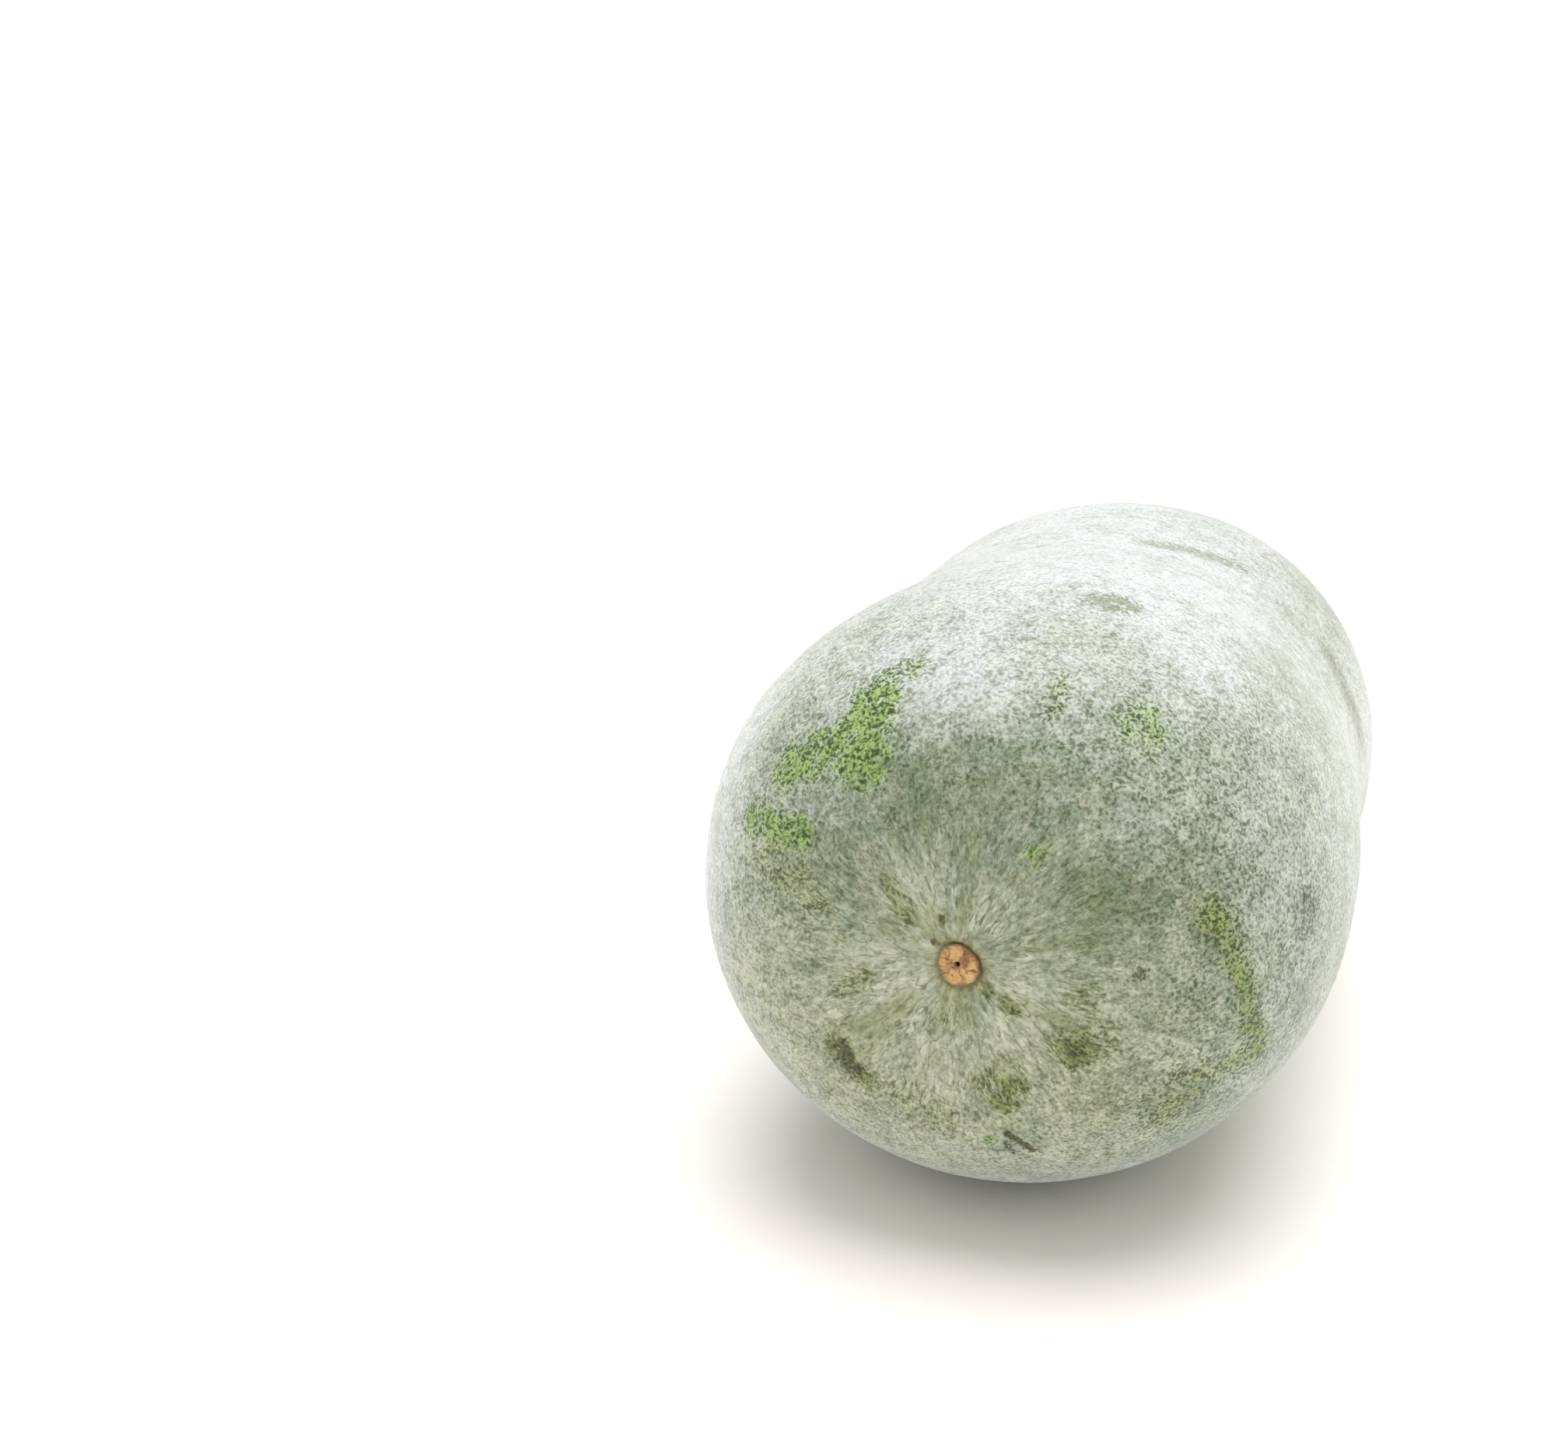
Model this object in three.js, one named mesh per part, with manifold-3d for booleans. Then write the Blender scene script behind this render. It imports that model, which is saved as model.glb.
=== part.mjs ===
// A wax gourd, also called winter melon: a blunt, barrel-shaped winter squash with a waxy bloom, as picked,
// lying on its side with a cut stub of stem.
//
// Millimetres, +Z up. The fruit lies along Y: its blossom end faces -Y and its stem end faces +Y.
// The origin is the middle of the base, on the surface that the fruit rests on.
// The fruit is turned on a lathe about its own long axis, pressed out of round, laid down and cut flat
// underneath. The stem is a ridged stub that stands on a small flat seat at the bottom of the stem cavity.

import * as THREE from "three";
import { mergeVertices } from "three/addons/utils/BufferGeometryUtils.js";
import Module from "manifold-3d";

const { Vector2, Vector3 } = THREE;
const { clamp, degToRad, lerp, smoothstep } = THREE.MathUtils;

// The fruit's overall sizes, in its own frame, before it is laid down.
const LENGTH = 340; // from the blossom end to the stem end
const BELLY_HEIGHT = 202; // the full girth, nearer the blossom end
const SHOULDER_HEIGHT = 187; // the slimmer girth, nearer the stem end
const WIDTH_TO_HEIGHT = 1.055; // it grew lying down, so it is a little wider than it is tall

// Where those girths are: how far from each end, along the fruit.
const BELLY_FROM_BLOSSOM_END = 100;
const SHOULDER_FROM_STEM_END = 130;

// How blunt each end is: the powers of the superellipse that closes it, along the fruit and across it.
const BLOSSOM_END = { along: 2.1, across: 3.4 };
const STEM_END = { along: 2.4, across: 3.2 };

// The shallow dip at the blossom end, and the corky scar that the flower left in it.
const BLOSSOM_DIP_RADIUS = 34;
const BLOSSOM_DIP_DEPTH = 2.5;
const SCAR_RADIUS = 6.2;
const SCAR_RISE = 0.8; // how far the scar stands above the groove round it
const SCAR_GROOVE = 1.3; // the width of that groove
const STYLE_PIT_RADIUS = 1.1;
const STYLE_PIT_DEPTH = 2.2;

// The stem cavity, with the flat seat that the stem stands on.
const CAVITY_RADIUS = 54;
const CAVITY_DEPTH = 15;

// The stem, a stub cut off on a slant.
const STEM_LENGTH = 25; // from the seat to the high side of the cut
const STEM_RADIUS = 8.6; // at the cut
const STEM_FOOT_RADIUS = 11.5;
const STEM_FLARE = 9; // the height over which the foot flares
const STEM_RIDGES = 5;
const STEM_RIDGE_HEIGHT = 0.9;
const STEM_CUT_SLANT = degToRad(17);
const SEAT_MARGIN = 1; // bare seat round the foot of the stem
const STEM_GAP = 0.3; // between the stem's foot and its seat

// The flat spot under the fruit.
const GROUND_SPOT_DEPTH = 2.5; // how much of the round underside it takes away

// Shallow hollows in the flanks: where each one is deepest, in millimetres along the fruit from its middle
// and in degrees round it from the top towards +X; how deep it is; and how far it spreads each way.
const DENTS = [
  { along: -35, around: -34, depth: 3.1, reach: 46, spread: 30 },
  { along: 60, around: 100, depth: 2, reach: 50, spread: 26 },
];
const DENTS_START = 45; // the distance from the axis at which the dents begin, clear of both ends
const DENTS_FULL = 85; // and the one from which they have their whole depth

// How finely the solids are faceted.
const FRUIT_SEGMENTS = 72;
const CAP_STATIONS = 16;
const WAIST_STATIONS = 12;
const STEM_SEGMENTS = 40;
const STEM_STATIONS = 10;
const CROWDING = 1.4; // above 1, the stem's stations crowd towards its flared foot
const WELD = 1e-3; // vertices nearer than this are one vertex

const half = LENGTH / 2;
const bellyRadius = BELLY_HEIGHT / 2;
const shoulderRadius = SHOULDER_HEIGHT / 2;
const bellyAt = BELLY_FROM_BLOSSOM_END - half;
const shoulderAt = half - SHOULDER_FROM_STEM_END;
const seatRadius = STEM_FOOT_RADIUS + SEAT_MARGIN;

const wasm = await Module();
wasm.setup();

// A closed geometry as a solid that can be cut.
function solidOf(geometry) {
  const bare = geometry.clone();
  bare.deleteAttribute("normal");
  bare.deleteAttribute("uv");
  const merged = mergeVertices(bare, WELD);
  return new wasm.Manifold(
    new wasm.Mesh({
      numProp: 3,
      vertProperties: merged.getAttribute("position").array,
      triVerts: new Uint32Array(merged.getIndex().array),
    }),
  );
}

// The solid back as a geometry with flat-shaded faces.
function geometryOf(solid) {
  const { vertProperties, triVerts } = solid.getMesh();
  const geometry = new THREE.BufferGeometry();
  geometry.setAttribute("position", new THREE.BufferAttribute(vertProperties, 3));
  geometry.setIndex(new THREE.BufferAttribute(triVerts, 1));
  const flat = geometry.toNonIndexed();
  flat.computeVertexNormals();
  return flat;
}

// Moves every vertex of a geometry to where move() puts it.
function reshape(geometry, move) {
  const position = geometry.getAttribute("position");
  const point = new Vector3();
  for (let i = 0; i < position.count; i++) {
    point.fromBufferAttribute(position, i);
    move(point);
    position.setXYZ(i, point.x, point.y, point.z);
  }
  return geometry;
}

// ---- The fruit ----

// How far an end's cap reaches out from the girth that it closes, at a radius on the cap.
function capReach(radius, end, girth, length) {
  return length * (1 - Math.min(radius / girth, 1) ** end.across) ** (1 / end.along);
}

// A round hollow, deepest at its centre and level at its rim.
function hollow(radius, rim, depth) {
  return (depth * (1 + Math.cos(Math.PI * Math.min(radius / rim, 1)))) / 2;
}

// Where the surface of the blossom end lies along the fruit, at a radius from the axis.
function blossomSurface(radius) {
  const reach = capReach(radius, BLOSSOM_END, bellyRadius, BELLY_FROM_BLOSSOM_END);
  return bellyAt - reach + hollow(radius, BLOSSOM_DIP_RADIUS, BLOSSOM_DIP_DEPTH);
}

// The same for the stem end. The slope of its cavity starts at the rim of the flat seat.
function stemSurface(radius) {
  const reach = capReach(radius, STEM_END, shoulderRadius, SHOULDER_FROM_STEM_END);
  const pastSeat = Math.max(radius - seatRadius, 0);
  return shoulderAt + reach - hollow(pastSeat, CAVITY_RADIUS - seatRadius, CAVITY_DEPTH);
}

const seatAt = stemSurface(seatRadius);

// The scar stands in a groove, with the pit of the flower's style in the middle of it.
function scarProfile() {
  const rim = SCAR_RADIUS + SCAR_GROOVE;
  const grooveFloor = blossomSurface(rim) + SCAR_RISE / 2;
  const top = grooveFloor - SCAR_RISE;
  return [
    new Vector2(0, top + STYLE_PIT_DEPTH),
    new Vector2(STYLE_PIT_RADIUS, top),
    new Vector2(SCAR_RADIUS - SCAR_RISE / 2, top),
    new Vector2(SCAR_RADIUS, grooveFloor),
    new Vector2(rim, blossomSurface(rim)),
  ];
}

// Points on an end cap, from just outside a radius to the girth, closer together where it turns most.
function capProfile(surface, from, girth) {
  return Array.from({ length: CAP_STATIONS }, (_, i) => {
    const radius = lerp(from, girth, Math.sin((Math.PI / 2) * ((i + 1) / CAP_STATIONS)));
    return new Vector2(radius, surface(radius));
  });
}

// Points between the belly and the shoulder, where the one girth passes into the other.
function waistProfile() {
  return Array.from({ length: WAIST_STATIONS }, (_, i) => {
    const along = lerp(bellyAt, shoulderAt, (i + 1) / (WAIST_STATIONS + 1));
    return new Vector2(lerp(bellyRadius, shoulderRadius, smoothstep(along, bellyAt, shoulderAt)), along);
  });
}

// From the pole of the blossom end to the pole of the stem end.
function fruitProfile() {
  const stemCap = [new Vector2(seatRadius, seatAt), ...capProfile(stemSurface, seatRadius, shoulderRadius)];
  return [
    ...scarProfile(),
    ...capProfile(blossomSurface, SCAR_RADIUS + SCAR_GROOVE, bellyRadius),
    ...waistProfile(),
    ...stemCap.reverse(),
    new Vector2(0, seatAt),
  ];
}

// How deep the dents are at a point of the round fruit.
function dentAt(point) {
  const around = Math.atan2(point.x, point.z);
  return DENTS.reduce((sum, dent) => {
    const along = (point.y - dent.along) / dent.reach;
    const turned = around - degToRad(dent.around);
    const across = Math.atan2(Math.sin(turned), Math.cos(turned)) / degToRad(dent.spread);
    return sum + dent.depth * Math.exp(-along * along - across * across);
  }, 0);
}

// Presses the round fruit into its natural shape, with the dents fading out towards the two ends.
function pressOutOfRound(point) {
  const radius = Math.hypot(point.x, point.z);
  const depth = dentAt(point) * smoothstep(radius, DENTS_START, DENTS_FULL);
  const share = 1 - depth / Math.max(radius, DENTS_START);
  point.x *= share * WIDTH_TO_HEIGHT;
  point.z *= share;
}

// It comes to rest on its belly and its shoulder, so its slimmer stem end hangs a little lower.
const restingTilt = -Math.atan2(bellyRadius - shoulderRadius, shoulderAt - bellyAt);

// The fruit, laid down, and the level at which it is cut flat underneath.
function makeFruit() {
  const turned = new THREE.LatheGeometry(fruitProfile(), FRUIT_SEGMENTS);
  const lying = reshape(turned, pressOutOfRound).rotateX(restingTilt);
  lying.computeBoundingBox();
  const { min, max } = lying.boundingBox;
  const below = new THREE.BoxGeometry(3 * max.x, 3 * max.y, 2 * GROUND_SPOT_DEPTH);
  below.translate(0, 0, min.z);
  return { fruitSolid: solidOf(lying).subtract(solidOf(below)), groundLevel: min.z + GROUND_SPOT_DEPTH };
}

// ---- The stem ----

// The stem's radius at a height above its foot: it flares into the foot and carries rounded ridges.
function stemRadius(height, around) {
  const flare = 1 - clamp(height / STEM_FLARE, 0, 1);
  const ridge = STEM_RIDGE_HEIGHT * Math.cos(STEM_RIDGES * around);
  return lerp(STEM_RADIUS, STEM_FOOT_RADIUS - STEM_RIDGE_HEIGHT, flare * flare) + ridge;
}

// A ridged post along +Y, standing on the origin, cut off on a slant.
function makeStem() {
  const post = STEM_LENGTH + STEM_RADIUS; // longer than the stub, to be cut back
  const side = Array.from({ length: STEM_STATIONS }, (_, i) => {
    return new Vector2(1, post * (i / (STEM_STATIONS - 1)) ** CROWDING);
  });
  const profile = [new Vector2(0, 0), ...side, new Vector2(0, post)];
  const turned = new THREE.LatheGeometry(profile, STEM_SEGMENTS);
  reshape(turned, (point) => {
    const radius = stemRadius(point.y, Math.atan2(point.x, point.z));
    point.x *= radius;
    point.z *= radius;
  });

  // The blade's underside passes through the high side of the cut, and tips down towards -X.
  const blade = new THREE.BoxGeometry(4 * post, 2 * post, 4 * post);
  blade.translate(0, post, 0).rotateZ(STEM_CUT_SLANT);
  blade.translate(0, STEM_LENGTH - STEM_RADIUS * Math.tan(STEM_CUT_SLANT), 0);
  return solidOf(turned).subtract(solidOf(blade));
}

// ---- The assembly ----

const rind = new THREE.MeshStandardMaterial({ color: "#b5bfae", roughness: 0.75, metalness: 0 });
const dryStem = new THREE.MeshStandardMaterial({ color: "#6b6a4c", roughness: 0.9, metalness: 0 });

const { fruitSolid, groundLevel } = makeFruit();

const fruit = new THREE.Mesh(geometryOf(fruitSolid), rind);
fruit.name = "fruit";

// The stem stands on its seat, with a hair's breadth between them, and tilts with the fruit.
const stem = new THREE.Mesh(geometryOf(makeStem()), dryStem);
stem.name = "stem";
stem.position.set(0, seatAt + STEM_GAP, 0);

const tilted = new THREE.Group();
tilted.add(stem);
tilted.rotation.x = restingTilt;

const gourd = new THREE.Group();
gourd.name = "wax gourd";
gourd.add(fruit, tilted);

// The origin goes to the middle of the base.
const middle = new THREE.Box3().setFromObject(gourd).getCenter(new Vector3());
gourd.position.set(-middle.x, -middle.y, -groundLevel);

export default gourd;
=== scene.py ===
# %% [markdown]
# # A wax gourd
#
# A wax gourd, or winter melon, is a big blunt squash. It grows a green rind, and as it ripens the rind sweats
# out a white wax that dries into a powdery bloom. This one lies on its side on a pale floor, with its blossom
# end towards the viewer and the cut stub of its stem at the far end.
#
# The CAD model is the fixed frame: it says how big the fruit is, how it lies and where its two ends are.
# Everything below is worked out from that frame, and nothing is read from anywhere else.

import math

import bpy
import numpy as np
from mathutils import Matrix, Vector, noise
from mathutils.bvhtree import BVHTree


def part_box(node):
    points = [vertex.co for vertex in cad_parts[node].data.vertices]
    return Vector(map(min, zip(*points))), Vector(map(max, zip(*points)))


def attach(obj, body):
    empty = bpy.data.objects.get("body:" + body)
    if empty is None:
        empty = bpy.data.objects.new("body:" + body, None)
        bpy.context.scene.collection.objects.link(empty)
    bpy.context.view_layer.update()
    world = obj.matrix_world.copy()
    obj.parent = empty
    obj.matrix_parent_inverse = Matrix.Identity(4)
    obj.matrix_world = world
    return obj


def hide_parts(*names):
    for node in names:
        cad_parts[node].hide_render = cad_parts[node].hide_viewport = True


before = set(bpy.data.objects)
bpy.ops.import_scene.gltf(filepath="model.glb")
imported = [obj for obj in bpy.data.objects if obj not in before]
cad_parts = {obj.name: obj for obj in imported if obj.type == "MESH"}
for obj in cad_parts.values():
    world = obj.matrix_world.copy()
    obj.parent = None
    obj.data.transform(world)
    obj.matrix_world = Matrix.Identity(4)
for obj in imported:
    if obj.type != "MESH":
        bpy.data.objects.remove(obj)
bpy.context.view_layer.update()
MM = 0.001

# %% [markdown]
# ## The camera
#
# The camera looks from a little above and a little to the right, which shows the blossom end and the long
# right flank together. A 60 mm lens on a 36 mm wide sensor stands back far enough that the near end doesn't
# balloon. The camera could be tied to an empty that it always points at, but a place and two angles are
# plainer, and they stay put when the fruit changes.

# %% Place the camera
CAMERA_PLACE = (174.5 * MM, -862.5 * MM, 449.6 * MM)
CAMERA_TURN = math.radians(18.4)  # to the side of the fruit's length
CAMERA_TIP = math.radians(20.44)  # below the level

camera_data = bpy.data.cameras.new("camera")
camera_data.lens = 60
camera_data.sensor_width = 36
camera_data.sensor_fit = "HORIZONTAL"
camera_data.clip_end = 300
camera = bpy.data.objects.new("camera", camera_data)
camera.location = CAMERA_PLACE
camera.rotation_euler = (math.pi / 2 - CAMERA_TIP, 0, CAMERA_TURN)
bpy.context.scene.collection.objects.link(camera)
bpy.context.scene.camera = camera
print("camera at", [round(c, 3) for c in camera.location])

# %% [markdown]
# ## Finding the fruit's own axis
#
# The fruit was turned on a lathe in the CAD model, then laid down with a slight tilt. A turned shape has one
# vertex at each end where dozens of thin triangles meet, like the hub of a wheel. Those two hubs are the
# middle of the blossom scar and the middle of the stem's seat, and the line between them is the axis. That
# is surer than typing the tilt in again, because it follows the CAD model if that changes.
#
# Points that lie in the same place are first joined into one, so that the spokes of each hub can be counted.

# %% Read the CAD fruit
cad_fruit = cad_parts["fruit"].data
points = np.array([v.co for v in cad_fruit.vertices])
places, joined = np.unique(np.round(points, 6), axis=0, return_inverse=True)
cad_edges = np.array([e.vertices[:] for e in cad_fruit.edges])
edges = np.unique(np.sort(joined.reshape(-1)[cad_edges], axis=1), axis=0)
real_edges = edges[edges[:, 0] != edges[:, 1]]
spokes = np.bincount(real_edges.reshape(-1), minlength=len(places))
hubs = places[np.argsort(spokes)[-2:]]
blossom, seat = hubs[np.argsort(hubs[:, 1])]
axis = (seat - blossom) / np.linalg.norm(seat - blossom)
side = np.array([1.0, 0.0, 0.0])
up = np.cross(side, axis)
print("blossom end", np.round(blossom / MM, 1), "stem seat", np.round(seat / MM, 1))
print("tilt in degrees", round(math.degrees(math.asin(axis[2])), 2))

# %% [markdown]
# ## The body of the fruit
#
# The fruit could be turned again from its profile, but the CAD model already holds its exact shape, with the
# flat spot it rests on and the shallow dents in its flanks. So the fine mesh is laid over it, like paper over
# a form: a spine runs down the middle of the fruit, rays go out from it in rings, and each ray stops where it
# meets the CAD surface. Rays fan out from each end of the spine to close the two ends.
#
# The rings lie close together at the blossom scar, which needs the finest relief, and further apart on the
# plain flanks.

# %% Lay out the rings
AROUND = 320  # points in a ring, so they are about 2 mm apart on the widest part
SPINE_INSET = 90 * MM  # how far the spine's ends are from the fruit's ends
FINE_RINGS = 30  # over the scar
FINE_STEP = 0.36 * MM
CAP_STEP = 1.9 * MM
FLANK_STEP = 2.3 * MM

spine_start = blossom + axis * SPINE_INSET
spine_end = seat - axis * SPINE_INSET
spine_length = float(np.linalg.norm(spine_end - spine_start))
square = math.pi / 2  # a ray at right angles to the spine
fine = np.arange(1, FINE_RINGS + 1) * FINE_STEP / SPINE_INSET
cap = np.linspace(fine[-1], square, int((square - fine[-1]) * SPINE_INSET / CAP_STEP))[1:]
flank = np.linspace(0, spine_length, int(spine_length / FLANK_STEP))[1:-1]
stern = np.linspace(square, 0, int(square * SPINE_INSET / CAP_STEP))[:-1]

# Each ring: where its rays start, and how far they lean from the axis.
starts = [spine_start] * (len(fine) + len(cap)) + [spine_start + axis * d for d in flank]
starts = np.array(starts + [spine_end] * len(stern))
leans = np.concatenate([math.pi - fine, math.pi - cap, np.full(len(flank), square), stern])
turns = np.arange(AROUND) / AROUND * 2 * math.pi  # 0 at the top, then clockwise as seen from in front
outward = np.outer(np.sin(turns), side) + np.outer(np.cos(turns), up)
directions = np.cos(leans)[:, None, None] * axis + np.sin(leans)[:, None, None] * outward[None, :, :]
print(len(starts), "rings of", AROUND, "points")

# %% Cast the rays
form = BVHTree.FromPolygons([Vector(p) for p in points], [p.vertices[:] for p in cad_fruit.polygons])


def reach(start, direction):
    """How far a ray from inside the fruit goes until it meets the CAD surface."""
    return form.ray_cast(Vector(start), Vector(direction))[3]


lengths = np.array([[reach(start, d) for d in ring] for start, ring in zip(starts, directions)])
surface = starts[:, None, :] + directions * lengths[:, :, None]
print("shortest and longest ray in mm", round(lengths.min() / MM, 1), round(lengths.max() / MM, 1))

# %% [markdown]
# The CAD fruit has flat facets about 9 mm wide, which would catch the light like a cut stone. Averaging each
# ray's length with those of its neighbours, within about 6 mm, melts the facets away and moves the surface
# by only a fraction of a millimetre. It is done twice: once round each ring, then along the fruit, where the
# rows carry on over each end and down the opposite side.

# %% Melt the facets
MELT = 6 * MM
FLAT_BELOW = 0.05 * MM  # points lower than this are on the flat spot

# Round each ring, the average is taken on the ring's waves: the shorter a wave, the more of it is dropped.
waves = np.arange(AROUND // 2 + 1)
ring_radius = np.abs(np.sin(leans)) * lengths.mean(1)
spread = MELT / np.maximum(ring_radius, MELT / 2)
keep = np.exp(-0.5 * (waves * spread[:, None]) ** 2)
softened = np.fft.irfft(np.fft.rfft(lengths, axis=1) * keep, AROUND)

# How far each ring is from the blossom end, along the skin, and how long the skin is from end to end.
steps = np.linalg.norm(np.diff(surface, axis=0), axis=2).mean(1)
first_step = fine[0] * SPINE_INSET
along = np.concatenate([[first_step], first_step + np.cumsum(steps)])
skin_length = along[-1] + CAP_STEP
opposite = np.roll(softened, AROUND // 2, axis=1)
rows = np.concatenate([opposite[::-1], softened, opposite[::-1]])
row_at = np.concatenate([-along[::-1], along, 2 * skin_length - along[::-1]])
weights = np.exp(-0.5 * ((along[:, None] - row_at[None, :]) / MELT) ** 2) * np.gradient(row_at)[None, :]
weights /= weights.sum(1, keepdims=True)
lengths = weights @ rows
was_flat = (surface[:, :, 2] < FLAT_BELOW).astype(float)
surface = starts[:, None, :] + directions * lengths[:, :, None]
print("moved at most", round(float(np.abs(softened - lengths).max()) / MM, 2), "mm along the fruit")

# %% [markdown]
# ## Growth in the rind
#
# No gourd is as even as a turned one. Soft smooth noise pushes the rind in and out by under a millimetre over
# a hand's width, and by a few tenths over a thumb's width. It dies away on the flat spot underneath, which
# has to stay flat, towards the seat of the stem, and on the scar. Lumps could be sculpted by hand as well,
# but noise gives the same fruit every time the script runs.

# %% Push the rind in and out
LUMPS = ((70 * MM, 0.8 * MM), (22 * MM, 0.22 * MM))  # how wide and how high


def grid_normals(grid):
    """The outward direction at each point of the grid of rings."""
    round_it = np.roll(grid, -1, axis=1) - np.roll(grid, 1, axis=1)
    along_it = np.gradient(grid, axis=0)
    normal = np.cross(round_it, along_it)
    normal /= np.maximum(np.linalg.norm(normal, axis=2, keepdims=True), 1e-12)
    middle = (spine_start + spine_end) / 2
    return normal * np.sign(np.einsum("ijk,ijk->ij", normal, grid - middle))[:, :, None]


def smooth_noise(grid, width, seed):
    """Soft noise between about -1 and 1 over the points of a grid, each lump about `width` across."""
    shift = Vector((seed * 17.3, seed * 5.1, seed * 9.7))
    values = [noise.noise(Vector(p) / width + shift) for p in grid.reshape(-1, 3)]
    return np.array(values).reshape(grid.shape[:-1])


def ramp(value, low, high):
    """0 below low, 1 above high, and a smooth rise between."""
    t = np.clip((value - low) / (high - low), 0, 1)
    return t * t * (3 - 2 * t)


normals = grid_normals(surface)
from_seat = np.linalg.norm(surface - seat, axis=2)
from_blossom = along[:, None] + np.zeros(AROUND)
free = ramp(surface[:, :, 2], 1 * MM, 14 * MM) * ramp(from_seat, 14 * MM, 40 * MM)
free *= ramp(from_blossom, 6 * MM, 30 * MM)
growth = sum(smooth_noise(surface, wide, 3 + i) * high for i, (wide, high) in enumerate(LUMPS))
surface = surface + normals * (growth * free)[:, :, None]
surface[:, :, 2] = np.maximum(surface[:, :, 2], 0) * (1 - was_flat)
print("lumps from", round(growth.min() / MM, 2), "to", round(growth.max() / MM, 2), "mm")

# %% [markdown]
# ## The blossom scar
#
# The flower sat here. When it dropped, the fruit healed the wound with cork: a button of tan lobes pressed
# together, with a dark pit in the middle where the style stood. A groove runs round the button, and the skin
# outside it is drawn up in fine puckers that run towards it.
#
# The relief could be carved by hand or painted as a height map. Here each lobe is a low dome with a place
# on a clock face round the pit, because a short list of domes is easy to read and to change. The highest
# dome wins at each point, which leaves a crease between neighbours by itself. A second short list gives the
# outline of the button, which isn't quite round.

# %% Build the corky button
# Each lobe: its place on a clock face, how far out its middle is, its radius and its height, in mm.
CORK_LOBES = (
    (11.4, 4.6, 3.3, 0.95),
    (10.1, 6.0, 2.6, 0.75),
    (8.8, 4.6, 2.9, 0.8),
    (6.5, 5.2, 3.4, 0.95),
    (4.5, 6.0, 3.2, 0.9),
    (3.0, 5.0, 2.8, 0.85),
    (1.5, 5.8, 2.6, 0.3),
    (7.6, 6.2, 2.0, 0.7),
)
# The outline of the cork: a place on the clock and how far out the edge is there, in mm.
CORK_EDGE = (
    (0, 7.0), (1.45, 6.7), (2.6, 7.6), (3.6, 8.4), (4.7, 8.3), (6.1, 7.9), (7.3, 7.6), (8.5, 6.7), (9.5, 6.7),
    (10.6, 7.5), (11.4, 7.2),
)
# Lengths here are in mm too.
DOME_SPREAD = 1.3  # how many times its radius a dome reaches, so that neighbours overlap
DOME_FLATNESS = 2.2  # a higher number gives a flatter dome with steeper sides
CREASE_DEPTH = 0.3
CREASE_WIDTH = 0.12  # how nearly equal in height two domes are where their crease is
CORK_ROUGHNESS = 0.36
EDGE_ROUGHNESS = 0.5
PIT_RADIUS = 1.25
PIT_DEPTH = 2.4
PIT_SQUEEZE = 0.72  # the pit is taller than it is wide
GROOVE_OUT = 0.54  # how far outside the cork the bottom of the groove is
GROOVE_WIDTH = 0.6
GROOVE_DEPTH = 0.8
PUCKERS = 9  # how closely the puckers lie round the scar, and how many mm long each is
PUCKER_HEIGHT = 0.28


def on_clock(hour):
    """The angle of a place on a clock face, from the top, clockwise."""
    return hour / 12 * 2 * math.pi


def bent(seed):
    """How far each point of the skin is shifted, in mm, before it is looked up: broad bends and fine ones."""
    return smooth_noise(surface, 2.6 * MM, seed) * 2.1 + smooth_noise(surface, 1.1 * MM, seed + 10) * 0.9


# Cork grows unevenly, so the domes are drawn through a slightly bent sheet.
out_mm = from_blossom / MM
across_mm = out_mm * np.sin(turns) + bent(21)
rise_mm = out_mm * np.cos(turns) + bent(22)
hours, reaches = np.array(CORK_EDGE).T
edge_mm = np.interp(turns / math.pi * 6, hours, reaches, period=12)
edge_mm = edge_mm + smooth_noise(surface, 1.8 * MM, 41) * EDGE_ROUGHNESS
edge = out_mm - edge_mm  # how far outside the cork a point is, in mm
domes = []
for hour, middle, radius, height in CORK_LOBES:
    across = middle * math.sin(on_clock(hour))
    rise = middle * math.cos(on_clock(hour))
    away = np.hypot(across_mm - across, rise_mm - rise)
    domes.append(height * np.clip(1 - (away / (radius * DOME_SPREAD)) ** DOME_FLATNESS, 0.1, 1))
domes.append(np.clip(1.2 - out_mm * 0.26, 0, 1))  # one more in the middle, round the pit
domes = np.array(domes)
lobe_of = domes.argmax(0)
highest, second = np.sort(domes, axis=0)[[-1, -2]]
crease = np.exp(-(((highest - second) / CREASE_WIDTH) ** 2)) * ramp(out_mm, 1.6, 2.6)
crease *= ramp(smooth_noise(surface, 1.7 * MM, 51), -0.35, 0.35)
cork_height = highest * 1.15 - CREASE_DEPTH * crease
# Painted shade: the lower a point lies between the domes, the browner the cork is painted there.
valley_shade = 1 - ramp(highest, 0.3, 0.85)
cork = ramp(-edge, -0.1, 0.3)  # 1 on the cork
pit_out = np.hypot(out_mm * np.sin(turns), out_mm * np.cos(turns) * PIT_SQUEEZE)
pit = 1 - ramp(pit_out, PIT_RADIUS * 0.7, PIT_RADIUS * 1.15)

# The groove is deepest from eleven o'clock round to four.
round_clock = np.cos(turns - on_clock(1.5))
groove_here = 0.45 + 0.55 * ramp(round_clock, -0.2, 0.6)
groove = np.exp(-(((edge - GROOVE_OUT) / GROOVE_WIDTH) ** 2)) * groove_here

# Puckers are noise that is short round the scar and long towards it.
round_cos = np.cos(turns) + 0 * out_mm
round_sin = np.sin(turns) + 0 * out_mm
pucker_way = np.stack([round_cos * PUCKERS, round_sin * PUCKERS, out_mm / PUCKERS], 2)
pucker_here = ramp(edge, 0.8, 3) * (1 - ramp(out_mm, 18, 48))
puckers = smooth_noise(pucker_way, 1, 5) * pucker_here * PUCKER_HEIGHT

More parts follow.
